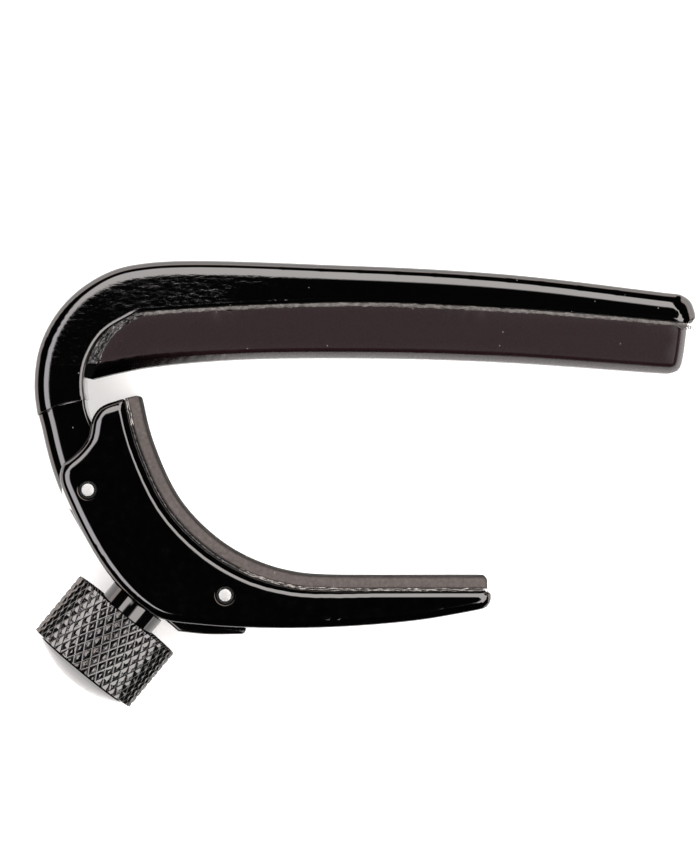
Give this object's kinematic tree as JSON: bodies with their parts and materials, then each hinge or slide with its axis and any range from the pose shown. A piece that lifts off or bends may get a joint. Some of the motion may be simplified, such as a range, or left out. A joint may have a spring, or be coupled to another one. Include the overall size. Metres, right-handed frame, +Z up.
{
  "type": "guitar capo",
  "caption": "C-shaped guitar capo with a padded arm and a padded pivoting jaw that a knurled thumbscrew closes on the neck.",
  "frame": {"origin": "on the surface the capo lies on, under the middle of its bounding box", "axes": "+X from the pivot end to the tips of arm and jaw, +Y from the neck pad to the string pad, +Z up across the capo's width"},
  "size_m": [0.0748, 0.0505, 0.014],
  "materials": {
    "gloss_black_paint": "gloss, slightly pebbled on the arm's sides",
    "polished_black": "mirror gloss",
    "knurled_black_metal": "satin, diamond knurled",
    "gloss_black_cap": "smooth gloss black",
    "bare_steel": "bright",
    "pad_rubber": "soft matte with a faint sheen",
    "dried_adhesive": "uneven, part gloss",
    "nylon": "matte",
    "seal_rubber": "matte"
  },
  "bodies": {
    "arm": {"frame_arm": "gloss_black_paint", "string_pad": "pad_rubber", "string_pad_adhesive": "dried_adhesive", "thread_barrel": "polished_black", "barrel_o_ring": "seal_rubber", "pivot_bushing": "nylon", "pivot_washer": "nylon"},
    "jaw": {"jaw_channel": "gloss_black_paint", "neck_pad": "pad_rubber", "neck_pad_adhesive": "dried_adhesive", "pivot_pin": "bare_steel", "stop_pin": "bare_steel", "thrust_plate": "bare_steel", "opening_spring": "bare_steel"},
    "thumbscrew": {"knob_grip": "knurled_black_metal", "knob_cap": "gloss_black_cap", "knob_screw": "bare_steel", "spindle": "bare_steel", "spindle_clip": "bare_steel"},
    "foot": {"thrust_foot": "bare_steel"}
  },
  "joints": [
    {"name": "knob_spin", "type": "hinge", "parent": "foot", "child": "thumbscrew", "pos_m": [-0.02709, -0.0149, 0.007], "axis": [0.6374, 0.7705, 0], "range_deg": [-864, 576]},
    {"name": "foot_slide", "type": "slide", "parent": "arm", "child": "foot", "axis": [0.6374, 0.7705, 0], "range_m": [-0.00193, 0.00129]},
    {"name": "jaw_pivot", "type": "hinge", "parent": "arm", "child": "jaw", "pos_m": [-0.0313, -0.00065, 0.007], "axis": [0, 0, 1], "range_deg": [-9, 6]}
  ],
  "couplings": [
    {"joint": "foot_slide", "follows": "knob_spin", "m_per_rad": 0.00012732},
    {"joint": "jaw_pivot", "follows": "knob_spin", "ratio": 0.010329}
  ]
}
